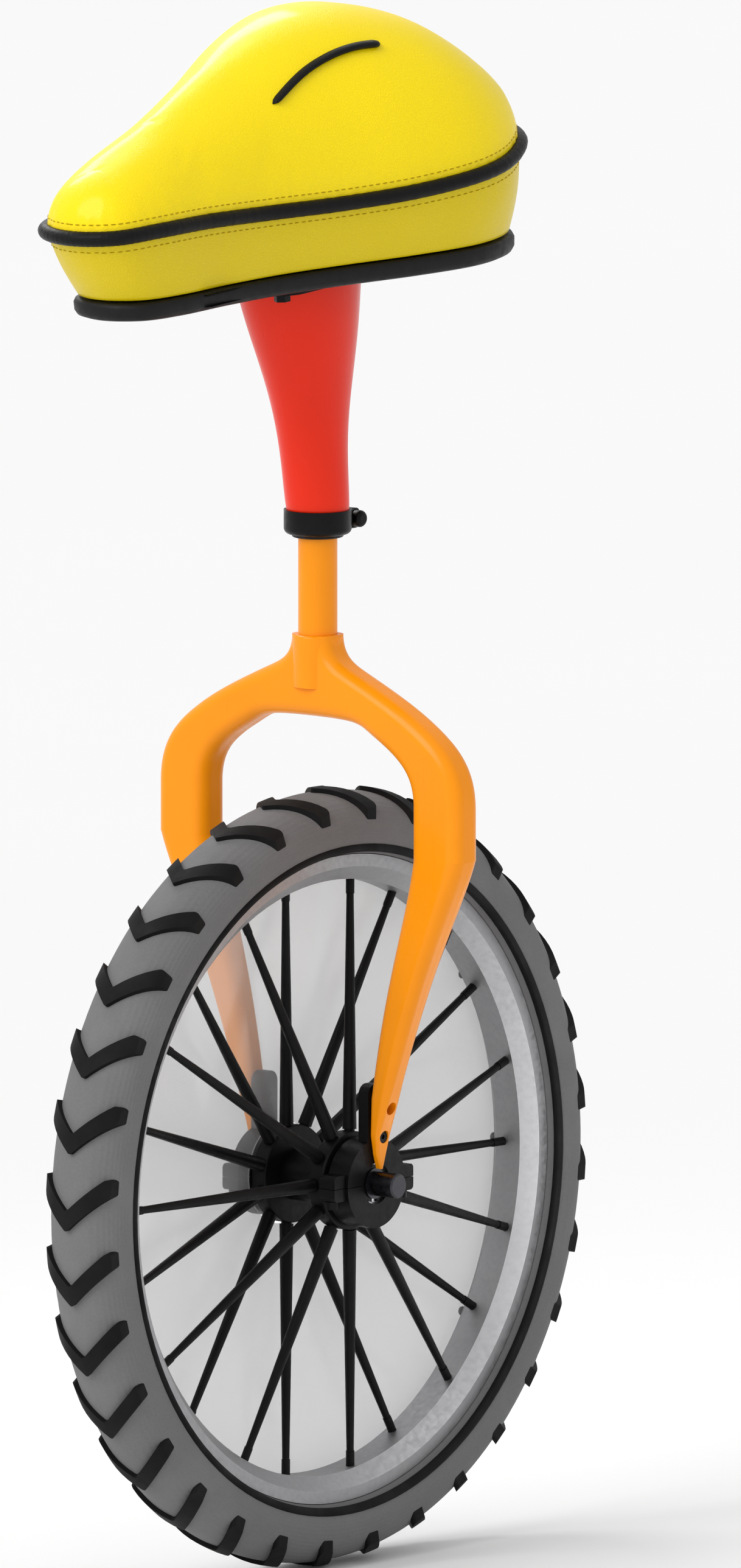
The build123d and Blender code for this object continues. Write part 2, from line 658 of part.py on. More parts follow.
def outline(grow=0.0, low=False):
    """Closed plan outline of the saddle at its piped edge, or at its base."""
    stretch = 1 + grow / SADDLE_HALF_L
    reach = SADDLE_HALF_L * stretch
    points = [(-reach, 0.0)] + [(x * stretch, w + grow) for x, w, _ in SADDLE_STATIONS] + [(reach, 0.0)]
    if low:
        points = [(LOW_SHIFT + LOW_X * x, LOW_Y * y) for x, y in points]
    left = Spline(*points, tangents=((0, 1), (0, -1)))
    return make_face([left, mirror(left, about=Plane.XZ)])


def side_block(inset):
    low = outline(-inset, low=True)
    high = outline(-inset)
    return loft([Pos(0, 0, PAN_HALF_T) * low, Pos(0, 0, EDGE_H) * high])


def dome(inset):
    """The crowned top, as sections across the saddle from tail to nose."""
    sections = []
    for x, w, share in SADDLE_STATIONS:
        wide = max(w - inset, 3.0)
        high = max(share * DOME_H - inset, 2.0)
        arc = EllipticalCenterArc((0, 0), wide, high, start_angle=0, arc_size=180)
        half = make_face([arc, Line((wide, 0), (-wide, 0))])
        place = Plane(origin=(x * (1 - inset / SADDLE_HALF_L), 0, EDGE_H), x_dir=(0, 1, 0), z_dir=(1, 0, 0))
        sections.append(place * half)
    return loft(sections)


def saddle(shape):
    return SADDLE_PLANE.location * shape


def make_pan():
    pan = extrude(Pos(0, 0, -PAN_HALF_T) * outline(3.0, low=True), 2 * PAN_HALF_T)
    for dx in (BOLT_DX, -BOLT_DX):
        for dy in (BOLT_DY, -BOLT_DY):
            pan -= rod(3.2, (PLATE_X + dx, dy, -10), (PLATE_X + dx, dy, 10))
    return pan


def make_plate():
    plate = Pos(PLATE_X, 0, PLATE_BOTTOM) * extrude(RectangleRounded(PLATE_L, PLATE_W, 14), PLATE_T)
    for dx in (BOLT_DX, -BOLT_DX):
        for dy in (BOLT_DY, -BOLT_DY):
            plate -= rod(3.2, (PLATE_X + dx, dy, -20), (PLATE_X + dx, dy, 10))
    return plate


def saddle_bolts():
    bolts, washers, nuts = [], [], []
    for dx in (BOLT_DX, -BOLT_DX):
        for dy in (BOLT_DY, -BOLT_DY):
            x = PLATE_X + dx
            head = Pos(x, dy, PLATE_BOTTOM - 5.2) * extrude(RegularPolygon(5.4, 6), 4.0)
            bolts.append(head + rod(3.0, (x, dy, PLATE_BOTTOM - 2), (x, dy, 8.0)))
            washer = rod(6.2, (x, dy, PLATE_BOTTOM - 1.15), (x, dy, PLATE_BOTTOM - 0.02))
            washers.append(washer - rod(3.05, (x, dy, -20), (x, dy, 0)))
            nut = rod(7.5, (x, dy, PAN_HALF_T + 0.02), (x, dy, PAN_HALF_T + 4.0))
            nuts.append(nut - rod(3.0, (x, dy, 0), (x, dy, 20)))
    return [Compound(children=[s for b in group for s in b.solids()]) for group in (bolts, washers, nuts)]


def make_foam():
    body = side_block(COVER_T + 0.05) + dome(COVER_T + 0.05)
    for dx in (BOLT_DX, -BOLT_DX):
        for dy in (BOLT_DY, -BOLT_DY):
            body -= rod(7.8, (PLATE_X + dx, dy, 0), (PLATE_X + dx, dy, 11))
    return body


def make_band():
    return side_block(0) - side_block(COVER_T)


def make_cover():
    return dome(0) - dome(COVER_T)


def make_piping():
    ring_face = outline(5.0) - outline(0.25)
    return extrude(Pos(0, 0, EDGE_H - PIPING_H / 2) * ring_face, PIPING_H) - dome(-0.15)


def make_welt():
    """A sewn strip on the left of the saddle's crown."""
    (x0, y0), (x1, y1) = WELT_FROM, WELT_TO
    run = Vector(x1 - x0, y1 - y0)
    slot = Rot(0, 0, degrees(atan2(run.Y, run.X))) * SlotCenterToCenter(run.length, WELT_W)
    strip = extrude(Pos((x0 + x1) / 2, (y0 + y1) / 2, EDGE_H + 20) * slot, DOME_H)
    return (dome(-1.6) & strip) - dome(-0.05)


# ---- write every node -------------------------------------------------------
os.makedirs("parts", exist_ok=True)

save("tyre", up(make_tyre()))
save("inner_tube", up(make_tube()))
valve_stem, valve_nut, valve_cap = make_valve()
save("valve_stem", up(valve_stem))
save("valve_nut", up(valve_nut))
save("valve_cap", up(valve_cap))
save("rim_tape", up(make_tape()))
save("rim", up(make_rim()))
for side, name in ((0, "left"), (1, "right")):
    spokes = [spoke_place(i) * make_spoke() for i in range(side, SPOKES, 2)]
    save(f"spokes_{name}", up(Compound(children=[s.solids()[0] for s in spokes])))
nipples = [spoke_place(i) * make_nipple() for i in range(SPOKES)]
save("spoke_nipples", up(Compound(children=[n.solids()[0] for n in nipples])))
save("disc_cover", up(make_disc()))
screws = [make_disc_screw(i).solids()[0] for i in range(DISC_SCREWS)]
save("disc_screws", up(Compound(children=screws)))
save("hub_shell", up(make_hub()))
save("axle", up(make_axle()))
save("axle_key", up(make_key()))
save("axle_circlips", up(make_circlips()))
save("bearing_inner_races", up(make_inner_races()))
save("bearing_outer_races", up(make_outer_races()))
save("bearing_seals", up(make_seals()))
for side, name in ((1, "left"), (-1, "right")):
    save(f"bearing_balls_{name}", up(make_balls(side)))
    save(f"bearing_cage_{name}", up(make_cage(side)))

housing, cap, leg = up(make_housing()), up(make_cap()), make_leg()
save("bearing_housing_left", housing)
save("bearing_housing_right", mirror(housing, about=Plane.XZ))
save("bearing_cap_left", cap)
save("bearing_cap_right", mirror(cap, about=Plane.XZ))
cap_bolts = [make_cap_bolt(x).solids()[0] for x in (CAP_BOLT_X, -CAP_BOLT_X)]
save("cap_bolts", up(both(Compound(children=cap_bolts))))
save("fork_leg_left", leg)
save("fork_leg_right", mirror(leg, about=Plane.XZ))
save("leg_screws", both(Compound(children=[make_leg_screw(z).solids()[0] for z in LEG_SCREW_Z])))
save("fork_crown", make_crown())
save("fork_stem", make_stem())
save("stem_plug", make_stem_plug())

save("seat_post", make_post())
save("post_bush_lower", make_lower_bush())
save("post_bush_upper", make_upper_bush())
save("clamp_collar", make_collar())
save("clamp_skewer", make_skewer())
save("clamp_nut", make_clamp_nut())
save("clamp_washers", make_clamp_washers())
save("lever_pin", make_pivot_pin())
save("clamp_lever", make_lever())

bolts, washers, nuts = saddle_bolts()
save("saddle_plate", saddle(make_plate()))
save("saddle_bolts", saddle(bolts))
save("saddle_washers", saddle(washers))
save("saddle_nuts", saddle(nuts))
save("saddle_pan", saddle(make_pan()))
save("saddle_foam", saddle(make_foam()))
save("saddle_band", saddle(make_band()))
save("saddle_cover", saddle(make_cover()))
save("saddle_piping", saddle(make_piping()))
save("saddle_welt", saddle(make_welt()))

print(len(written), "nodes written")
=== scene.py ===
import json
import math

import bmesh
import bpy
import numpy as np
from mathutils import Matrix, Vector
from mathutils.bvhtree import BVHTree
from mathutils.kdtree import KDTree


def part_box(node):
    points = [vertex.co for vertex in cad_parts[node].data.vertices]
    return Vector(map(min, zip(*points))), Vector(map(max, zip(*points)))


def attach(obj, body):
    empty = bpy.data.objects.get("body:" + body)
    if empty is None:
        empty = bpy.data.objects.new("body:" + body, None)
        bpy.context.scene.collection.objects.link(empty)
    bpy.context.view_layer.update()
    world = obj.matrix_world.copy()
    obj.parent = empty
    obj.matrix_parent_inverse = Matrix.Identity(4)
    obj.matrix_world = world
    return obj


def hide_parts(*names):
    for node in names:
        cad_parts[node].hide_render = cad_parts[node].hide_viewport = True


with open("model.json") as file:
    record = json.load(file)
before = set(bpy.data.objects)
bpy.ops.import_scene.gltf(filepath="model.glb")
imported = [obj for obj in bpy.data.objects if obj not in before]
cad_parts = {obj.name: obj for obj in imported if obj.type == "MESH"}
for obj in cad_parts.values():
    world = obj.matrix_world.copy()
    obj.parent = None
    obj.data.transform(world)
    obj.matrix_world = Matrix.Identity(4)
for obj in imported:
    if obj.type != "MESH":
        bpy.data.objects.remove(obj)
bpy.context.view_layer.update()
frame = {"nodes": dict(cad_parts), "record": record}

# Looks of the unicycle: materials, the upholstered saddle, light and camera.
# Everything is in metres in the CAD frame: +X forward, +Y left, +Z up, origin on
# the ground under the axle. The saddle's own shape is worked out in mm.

NODES = frame["nodes"]
SCENE = bpy.context.scene


def centre_of(node):
    low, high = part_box(node)
    return (Vector(low) + Vector(high)) / 2


def srgb(red, green, blue):
    """A colour given as 0-255 display values, as the linear values a shader takes."""
    def linear(value):
        value /= 255.0
        return value / 12.92 if value <= 0.04045 else ((value + 0.055) / 1.055) ** 2.4
    return (linear(red), linear(green), linear(blue), 1.0)


def shade(colour, factor, lift=0.0):
    """A lighter or darker self of a linear colour."""
    return tuple(min(1.0, c * factor + lift) for c in colour[:3]) + (1.0,)


def add_object(name, data):
    made = bpy.data.objects.new(name, data)
    SCENE.collection.objects.link(made)
    return made


# ---- materials ------------------------------------------------------------
class Look:
    """One node-based material: a Principled shader and helpers that feed it."""

    def __init__(self, name, colour, rough, metal=0.0, **fixed):
        self.material = bpy.data.materials.new(name)
        self.material.use_nodes = True
        self.tree = self.material.node_tree
        self.shader = self.tree.nodes["Principled BSDF"]
        self.colour = colour
        self.set(**{"Base Color": colour, "Roughness": rough, "Metallic": metal}, **fixed)
        self.place = self.node("ShaderNodeTexCoord").outputs["Object"]
        self.heights = []

    def set(self, **values):
        for key, value in values.items():
            self.shader.inputs[key.replace("_", " ")].default_value = value

    def node(self, kind, **inputs):
        made = self.tree.nodes.new(kind)
        for key, value in inputs.items():
            self.plug(made.inputs[key], value)
        return made

    def plug(self, socket, value):
        if isinstance(value, bpy.types.NodeSocket):
            self.tree.links.new(value, socket)
        else:
            socket.default_value = value

    def math(self, operation, first, second=0.0):
        made = self.tree.nodes.new("ShaderNodeMath")
        made.operation = operation
        self.plug(made.inputs[0], first)
        self.plug(made.inputs[1], second)
        return made.outputs[0]

    def noise(self, scale, detail, rough=0.55, stretch=None):
        place = self.place
        if stretch:
            mapping = self.node("ShaderNodeMapping", Vector=place, Scale=stretch)
            place = mapping.outputs["Vector"]
        made = self.node(
            "ShaderNodeTexNoise", Vector=place, Scale=scale, Detail=detail, Roughness=rough
        )
        return made.outputs["Fac"]

    def cells(self, scale, feature="F1"):
        made = self.node("ShaderNodeTexVoronoi", Vector=self.place, Scale=scale)
        made.feature = feature
        return made.outputs["Distance"]

    def remap(self, value, low, high, out_low, out_high):
        """The span from low to high as another span, held at its ends."""
        made = self.node("ShaderNodeMapRange", Value=value)
        spans = {"From Min": low, "From Max": high, "To Min": out_low, "To Max": out_high}
        for key, number in spans.items():
            made.inputs[key].default_value = number
        return made.outputs["Result"]

    def blend_colour(self, factor, first, second):
        made = self.tree.nodes.new("ShaderNodeMix")
        made.data_type = "RGBA"
        self.plug(made.inputs["Factor"], factor)
        self.plug(made.inputs["A"], first)
        self.plug(made.inputs["B"], second)
        return made.outputs["Result"]

    def base_colour(self, value):
        self.plug(self.shader.inputs["Base Color"], value)

    def tint(self, factor, change):
        """The look's colour, moved towards a lighter or darker self by factor."""
        result = self.blend_colour(factor, self.colour, shade(self.colour, change))
        self.base_colour(result)
        return result

    def rough(self, value):
        self.plug(self.shader.inputs["Roughness"], value)

    def bump(self, height, depth, strength):
        """Adds relief of this depth in metres; several are stacked."""
        made = self.node("ShaderNodeBump", Height=height, Distance=depth, Strength=strength)
        if self.heights:
            self.tree.links.new(self.heights[-1], made.inputs["Normal"])
        self.heights.append(made.outputs["Normal"])
        self.plug(self.shader.inputs["Normal"], made.outputs["Normal"])

    def radius(self, height):
        """Distance from the wheel's axle, for rings about it."""
        parts = self.node("ShaderNodeSeparateXYZ", Vector=self.place)
        rise = self.math("SUBTRACT", parts.outputs["Z"], height)
        square = self.math("ADD", self.math("MULTIPLY", parts.outputs["X"], parts.outputs["X"]),
                           self.math("MULTIPLY", rise, rise))
        return self.math("SQRT", square)

    def rings(self, height, pitch):
        """Fine rings about the axle, 0 to 1, repeating at this pitch in metres."""
        turns = self.math("MULTIPLY", self.radius(height), 2 * math.pi / pitch)
        return self.remap(self.math("SINE", turns), -1.0, 1.0, 0.0, 1.0)


AXLE_HEIGHT = centre_of("axle").z


def enamel(name, colour):
    """Sprayed gloss paint: faint orange peel, hairline scratches, a little dust."""
    gloss = {"Specular_IOR_Level": 0.2, "Coat_Weight": 0.08, "Coat_Roughness": 0.08}
    look = Look(name, colour, 0.32, **gloss)
    patch = look.noise(9.0, 4.0)
    worn = look.tint(look.remap(patch, 0.35, 0.7, 0.0, 0.55), 0.86)
    dust = look.remap(look.noise(70.0, 6.0, 0.7), 0.6, 0.78, 0.0, 0.1)
    look.base_colour(look.blend_colour(dust, worn, shade(colour, 1.2, 0.03)))
    scratch = look.noise(60.0, 3.0, 0.6, stretch=(1.0, 1.0, 0.12))
    look.rough(look.remap(scratch, 0.3, 0.75, 0.24, 0.42))
    look.bump(look.noise(330.0, 2.0), 0.00012, 0.35)
    look.bump(look.noise(1900.0, 2.0), 0.00003, 0.3)
    return look.material


def powder(name, colour, rough=0.42):
    """Textured black powder coat, rubbed a little where it is high."""
    look = Look(name, colour, rough, Specular_IOR_Level=0.14)
    look.tint(look.remap(look.noise(40.0, 5.0), 0.45, 0.75, 0.0, 0.8), 2.2)
    look.rough(look.remap(look.noise(220.0, 3.0), 0.3, 0.7, rough - 0.08, rough + 0.12))
    look.bump(look.noise(1500.0, 3.0), 0.0001, 0.5)
    return look.material


def rubber(name, colour, marks=True):
    """Moulded rubber: fine pores, mould rings on the sidewall, road dust."""
    look = Look(name, colour, 0.72, Specular_IOR_Level=0.2)
    speck = look.tint(look.remap(look.noise(600.0, 4.0, 0.7), 0.35, 0.7, 0.0, 0.5), 0.8)
    dust = look.remap(look.noise(14.0, 6.0, 0.65), 0.48, 0.72, 0.0, 0.3)
    look.base_colour(look.blend_colour(dust, speck, shade(colour, 1.35, 0.01)))
    look.rough(look.remap(look.noise(45.0, 3.0), 0.3, 0.7, 0.62, 0.84))
    if marks:
        look.bump(look.rings(AXLE_HEIGHT, 0.0026), 0.00022, 0.5)
    look.bump(look.noise(1100.0, 3.0, 0.6), 0.00012, 0.6)
    return look.material


def vinyl(name, colour, grain=620.0, rough=0.46, coat=0.28):
    """Grained upholstery vinyl: pebble cells with creases between them, and painted shade
    darkening the creases.
    """
    gloss = {"Specular_IOR_Level": 0.14, "Coat_Weight": coat, "Coat_Roughness": 0.17}
    look = Look(name, colour, rough, **gloss)
    creases = look.cells(grain, "DISTANCE_TO_EDGE")
    # painted shade: the base colour darkens in the creases between the pebble cells
    crease_shade_mask = look.remap(creases, 0.0, 0.12, 1.0, 0.0)
    crease_shaded = look.tint(look.math("MULTIPLY", crease_shade_mask, 0.4), 0.78)
    patch = look.remap(look.noise(11.0, 4.0), 0.35, 0.7, 0.0, 0.3)
    look.base_colour(look.blend_colour(patch, crease_shaded, shade(colour, 0.9)))
    look.rough(look.remap(look.noise(30.0, 4.0), 0.3, 0.7, rough - 0.07, rough + 0.1))
    look.bump(look.remap(creases, 0.0, 0.22, 0.0, 1.0), 0.00022, 0.55)
    look.bump(look.noise(2600.0, 2.0), 0.00004, 0.4)
    return look.material


def alloy(name, colour, rough, pitch=None):
    """Metal with a fine grain, and turned rings about the axle at a pitch."""
    look = Look(name, colour, rough, 1.0)
    look.tint(look.remap(look.noise(25.0, 4.0), 0.3, 0.7, 0.0, 0.5), 0.88)
    look.rough(look.remap(look.noise(300.0, 3.0), 0.3, 0.7, rough - 0.06, rough + 0.1))
    if pitch:
        look.bump(look.rings(AXLE_HEIGHT, pitch), 0.00003, 0.4)
    look.bump(look.noise(2200.0, 2.0), 0.00002, 0.4)
    return look.material


def plastic(name, colour, rough=0.5):
    """Moulded plastic with a fine spark-eroded texture."""
    look = Look(name, colour, rough, Specular_IOR_Level=0.25)
    look.tint(look.remap(look.noise(35.0, 4.0), 0.35, 0.7, 0.0, 0.6), 1.5)
    look.rough(look.remap(look.noise(160.0, 3.0), 0.3, 0.7, rough - 0.08, rough + 0.1))
    look.bump(look.cells(1300.0), 0.00008, 0.5)
    return look.material


def smoked(name, colour, clear):
    """Smoked clear sheet: see-through, with hairline scratches round the axle."""
    look = Look(name, colour, 0.14, Alpha=clear, IOR=1.5)
    look.tint(look.remap(look.noise(7.0, 4.0), 0.35, 0.7, 0.0, 0.25), 0.9)
    hair = look.math("MULTIPLY", look.rings(AXLE_HEIGHT, 0.0011), look.noise(80.0, 4.0))
    look.rough(look.remap(hair, 0.2, 0.7, 0.17, 0.23))
    look.bump(look.noise(18.0, 2.0), 0.0002, 0.08)
    return look.material


BLACK = (0.003, 0.003, 0.0033, 1.0)
MATERIALS = {
    "tread_rubber": rubber("tyre_grey_rubber", srgb(112, 112, 113)),
    "butyl": rubber("butyl_rubber", BLACK, marks=False),
    "valve_metal": alloy("valve_brass", srgb(178, 150, 92), 0.32),
    "valve_plastic": plastic("valve_cap_plastic", BLACK),
    "rim_alloy": alloy("rim_satin_alloy", srgb(166, 166, 168), 0.5, pitch=0.0007),
    "black_spokes": powder("spoke_powder_coat", BLACK),
    "smoked_disc": smoked("smoked_disc_sheet", srgb(200, 200, 201), 0.37),
    "black_steel": powder("blackened_steel", BLACK, 0.34),
    "hub_black": powder("hub_powder_coat", BLACK, 0.4),
    "axle_steel": alloy("axle_dark_steel", srgb(70, 70, 74), 0.3),
    "bearing_steel": alloy("bearing_ground_steel", srgb(200, 200, 204), 0.2, pitch=0.0004),
    "bearing_brass": alloy("cage_stamped_brass", srgb(196, 160, 84), 0.36),
    "seal_rubber": rubber("seal_black_rubber", BLACK, marks=False),
    "orange_paint": enamel("orange_enamel", srgb(252, 150, 2)),
    "stem_plastic": plastic("bush_black_plastic", BLACK),
    "red_paint": enamel("red_enamel", srgb(236, 40, 2)),
    "clamp_black": powder("clamp_black_anodised", BLACK, 0.32),
    "plate_steel": powder("plate_powder_coat", BLACK, 0.45),
    "pan_plastic": plastic("pan_black_plastic", BLACK),
    "foam": plastic("cut_foam", srgb(214, 204, 170), 0.9),
    "yellow_vinyl": vinyl("yellow_vinyl", srgb(255, 226, 0)),
    "mustard_vinyl": vinyl("mustard_vinyl", srgb(222, 197, 2)),
    "black_vinyl": vinyl("black_welt_vinyl", BLACK, grain=900.0, rough=0.4, coat=0.05),
}
SLOT_OF = {row["node"]: row["material_slot"] for row in frame["record"]["subparts"]}
for node, thing in NODES.items():
    thing.data.materials.clear()
    thing.data.materials.append(MATERIALS[SLOT_OF[node]])

# ---- tyre: black lugs and rim guard on the grey carcass ---------------------
TYRE_HALF = (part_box("tyre")[1][1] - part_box("tyre")[0][1]) / 2
TREAD_R = (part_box("tyre")[1][2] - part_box("tyre")[0][2]) / 2
LUG_HEIGHT = 0.003
WIDEST_R = 0.226         # the middle of the carcass's elliptical section
LUG_SECTION = 1.035      # the ellipse's equation is above this on a lug
GUARD_R, GUARD_Y, GUARD_HALF = 0.216, 0.0246, 0.0031
GUARD_MARGIN = 1.05
GUARD_FOOT_Y = 0.0222    # the guard's polygons lie further out than this


def paint_tread(thing, black):
    """Gives the raised lugs and the rim guard's polygons the black rubber."""
    mesh = thing.data
    mesh.materials.append(black)
    for polygon in mesh.polygons:
        c = polygon.center
        r = math.hypot(c.x, c.z - AXLE_HEIGHT)
        y = abs(c.y)
        section = ((r - WIDEST_R) / (TREAD_R - LUG_HEIGHT - WIDEST_R)) ** 2 + (y / TYRE_HALF) ** 2
        lug = r > WIDEST_R and section > LUG_SECTION
        from_guard = math.hypot(r - GUARD_R, y - GUARD_Y)
        guard = from_guard < GUARD_HALF * GUARD_MARGIN and y > GUARD_FOOT_Y
        polygon.material_index = 1 if lug or guard else 0


paint_tread(NODES["tyre"], rubber("tread_black_rubber", BLACK, marks=False))

# ---- saddle ---------------------------------------------------------------
MM = 0.001
TILT = math.radians(3.75)         # nose down
HALF_L = 192.0                    # the piped edge's half length
HALF_W = 107.0                    # and its half width
EDGE = 55.0                       # the CAD piping's height over the base plane
PAN_HALF = 6.0                    # half the base pan's thickness
# x and half width of the piped edge's plan, from tail to nose
WIDTHS = (
    (-190.0, 22.0),
    (-176.0, 60.0),
    (-150.0, 91.0),
    (-100.0, 107.0),
    (-45.0, 93.0),
    (0.0, 74.0),
    (50.0, 56.0),
    (100.0, 46.0),
    (150.0, 41.0),
    (180.0, 30.0),
    (190.0, 13.0),
)
# x and height of the piped edge, which rises round the tail
EDGE_RISE = (
    (-192.0, 70.0),
    (-150.0, 66.0),
    (-120.0, 60.0),
    (-90.0, 56.0),
    (-40.0, 51.5),
    (8.0, 50.0),
    (60.0, 51.0),
    (110.0, 53.0),
    (160.0, 53.5),
    (192.0, 52.0),
)
# x and height of the crown's ridge
RIDGE = (
    (-150.0, 128.0),
    (-100.0, 156.0),
    (-45.0, 165.0),
    (0.0, 157.0),
    (50.0, 136.0),
    (100.0, 114.0),
    (150.0, 95.0),
    (170.0, 86.0),
)
SPINE_TAIL, SPINE_NOSE = -150.0, 160.0
SPINE_X = 0.9                     # the spine's x against that of the edge
RIDGE_OF_SPINE, RIDGE_OF_POINT = 0.6, 0.4       # whose x the ridge's height is read at
CROWN_POWER = 2.3                 # higher is fuller towards the edge
LOW_SHIFT, LOW_X, LOW_Y = -11.0, 0.92, 0.88     # the band's lower edge against the piped one
EX = Vector((math.cos(TILT), 0.0, -math.sin(TILT)))
EZ = Vector((math.sin(TILT), 0.0, math.cos(TILT)))
SADDLE_ORIGIN = centre_of("saddle_piping") - EZ * EDGE * MM
SADDLE_AXES = np.array([EX, (0.0, 1.0, 0.0), EZ])


def to_row(points):
    """Points of the saddle's own frame, in mm, as points of the row in metres."""
    return np.array(SADDLE_ORIGIN) + MM * np.asarray(points, float) @ SADDLE_AXES


def smooth_through(stations, at):
    """A smooth curve through the stations, held at its ends (cubic pieces)."""
    xs, ys = np.array(stations).T
    at = np.clip(at, xs[0], xs[-1])
    slopes = np.gradient(ys, xs)
    i = np.clip(np.searchsorted(xs, at) - 1, 0, len(xs) - 2)
    h = xs[i + 1] - xs[i]
    t = np.clip((at - xs[i]) / h, 0.0, 1.0)
    return (
        ys[i] * (1 + 2 * t) * (1 - t) ** 2
        + ys[i + 1] * t * t * (3 - 2 * t)
        + slopes[i] * h * t * (1 - t) ** 2
        - slopes[i + 1] * h * t * t * (1 - t)
    )


def plan(t):
    """The piped edge's plan at parameter t: 0 nose, pi tail, anticlockwise."""
    turn = np.abs((np.asarray(t) + math.pi) % (2 * math.pi) - math.pi)
    ends = [(0.0, 0.0)] + [(math.acos(-x / HALF_L), w) for x, w in WIDTHS] + [(math.pi, 0.0)]
    width = smooth_through(ends, math.pi - turn)
    return HALF_L * np.cos(turn), np.sign(np.sin(t)) * np.maximum(width, 0.0)


def low_outline(x, y):
    """The band's lower edge: further back, shorter and narrower than the top."""
    return LOW_SHIFT + LOW_X * x, LOW_Y * y


def crown_point(x, y, share):
    """The crown between its spine (share 0) and the piped edge (share 1)."""
    spine = np.clip(x * SPINE_X, SPINE_TAIL, SPINE_NOSE)
    px = spine + (x - spine) * share
    edge = smooth_through(EDGE_RISE, x)
    ridge = smooth_through(RIDGE, spine * RIDGE_OF_SPINE + px * RIDGE_OF_POINT)
    lift = np.sqrt(1.0 - share ** CROWN_POWER)
    return np.stack([px, y * share, edge + (ridge - edge) * lift], 1)


def make_object(name, mesh, material):
    """Turns a finished bmesh into an object in the scene, and frees the bmesh."""
    bmesh.ops.recalc_face_normals(mesh, faces=mesh.faces)
    data = bpy.data.meshes.new(name)
    mesh.to_mesh(data)
    mesh.free()
    data.materials.append(material)
    return add_object(name, data)


def declare(piece, slot, *nodes):
    """The piece rides on the seat and stands for the nodes, which are hidden; the slot is not
    used.
    """
    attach(piece, "seat")
    if nodes:
        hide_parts(*nodes)


AROUND, RINGS, BAND_ROWS = 256, 26, 12
RING_POWER = 0.9                  # lower puts more of the crown's rings near the edge
BAND_BULGE = 2.6
UNDER_X, UNDER_Y, UNDER_RISE = 0.5, 0.3, 0.5    # the underside's inner ring
WELD = 0.00004
TOP, SIDE, UNDER = 0, 1, 2        # what a face of the body belongs to


def saddle_body():
    """Closed mesh of the padded saddle, whose faces know what they belong to."""
    t = np.arange(AROUND) * 2 * math.pi / AROUND
    px, py = plan(t)
    edge = smooth_through(EDGE_RISE, px)
    shares = [math.sin(k / RINGS * math.pi / 2) ** RING_POWER for k in range(RINGS + 1)]
    rows = [crown_point(px, py, share) for share in shares]
    below = []
    lx, ly = low_outline(px, py)
    for k in range(1, BAND_ROWS + 1):
        s = k / BAND_ROWS
        bulge = BAND_BULGE * math.sin(math.pi * s)
        x = (px + (lx - px) * s) * (1.0 + bulge / HALF_L)
        y = (py + (ly - py) * s) * (1.0 + bulge / HALF_W)
        below.append(np.stack([x, y, edge + (PAN_HALF - edge) * s], 1))
    bottom = np.stack([lx * UNDER_X, ly * UNDER_Y, 0 * lx + PAN_HALF + UNDER_RISE], 1)
    grid = rows + below + [bottom]
    mesh = bmesh.new()
    verts = [[mesh.verts.new(p) for p in to_row(row)] for row in grid]
    kind = mesh.faces.layers.int.new("kind")
    for r in range(len(grid) - 1):
        for i in range(AROUND):
            j = (i + 1) % AROUND
            face = mesh.faces.new((verts[r][i], verts[r + 1][i], verts[r + 1][j], verts[r][j]))
            face.smooth = True
            face[kind] = TOP if r < RINGS else (SIDE if r < RINGS + BAND_ROWS else UNDER)
    cap = mesh.faces.new([verts[-1][i] for i in reversed(range(AROUND))])
    cap[kind] = UNDER
    bmesh.ops.remove_doubles(mesh, verts=mesh.verts, dist=WELD)
    return make_object("saddle_body", mesh, MATERIALS["yellow_vinyl"])


def place_vertices(thing, places):
    for vertex, place in zip(thing.data.vertices, places):
        vertex.co = place


CLOTH = {
    "quality": 6,
    "mass": 0.4,
    "tension_stiffness": 22.0,
    "compression_stiffness": 22.0,
    "shear_stiffness": 12.0,
    "bending_stiffness": 0.6,
    "use_pressure": True,
    "uniform_pressure_force": 5.0,
    "vertex_group_mass": "seam",
}
PUFF_FRAMES = 18
PUFF_CAP = 3.5           # mm, the most that a point moves


def puff(thing, seam):
    """Inflates the stuffed form a little by cloth pressure; its seams are held."""
    group = thing.vertex_groups.new(name="seam")
    group.add(seam, 1.0, "REPLACE")
    before = np.array([v.co[:] for v in thing.data.vertices])
    cloth = thing.modifiers.new("cloth", "CLOTH")
    for key, value in CLOTH.items():
        setattr(cloth.settings, key, value)
    cloth.settings.effector_weights.gravity = 0.0
    cloth.collision_settings.use_collision = False
    for number in range(1, PUFF_FRAMES + 1):
        SCENE.frame_set(number)
    graph = bpy.context.evaluated_depsgraph_get()
    after = np.array([v.co[:] for v in thing.evaluated_get(graph).data.vertices])
    thing.modifiers.remove(cloth)
    SCENE.frame_set(1)
    move = after - before
    size = np.linalg.norm(move, axis=1, keepdims=True)
    move *= np.minimum(1.0, PUFF_CAP * MM / np.maximum(size, 1e-9))
    place_vertices(thing, before + move)


def edge_line(count):
    """Points along the piped edge, in the row."""
    x, y = plan(np.arange(count) * 2 * math.pi / count)
    return to_row(np.stack([x, y, smooth_through(EDGE_RISE, x)], 1))


def low_line(count):
    """Points along the band's lower edge, in the row."""
    x, y = low_outline(*plan(np.arange(count) * 2 * math.pi / count))
    return to_row(np.stack([x, y, 0 * x + PAN_HALF], 1))


def seam_distance(thing):
    """For each vertex, how far it is from the piped edge, and where along it."""
    line = edge_line(2048)
    steps = np.linalg.norm(np.diff(line, axis=0, append=line[:1]), axis=1)
    run = np.concatenate([[0.0], np.cumsum(steps)[:-1]])
    tree = KDTree(len(line))
    for i, place in enumerate(line):
        tree.insert(place, i)
    tree.balance()
    found = [tree.find(v.co) for v in thing.data.vertices]
    return np.array([f[2] for f in found]), run[[f[1] for f in found]]


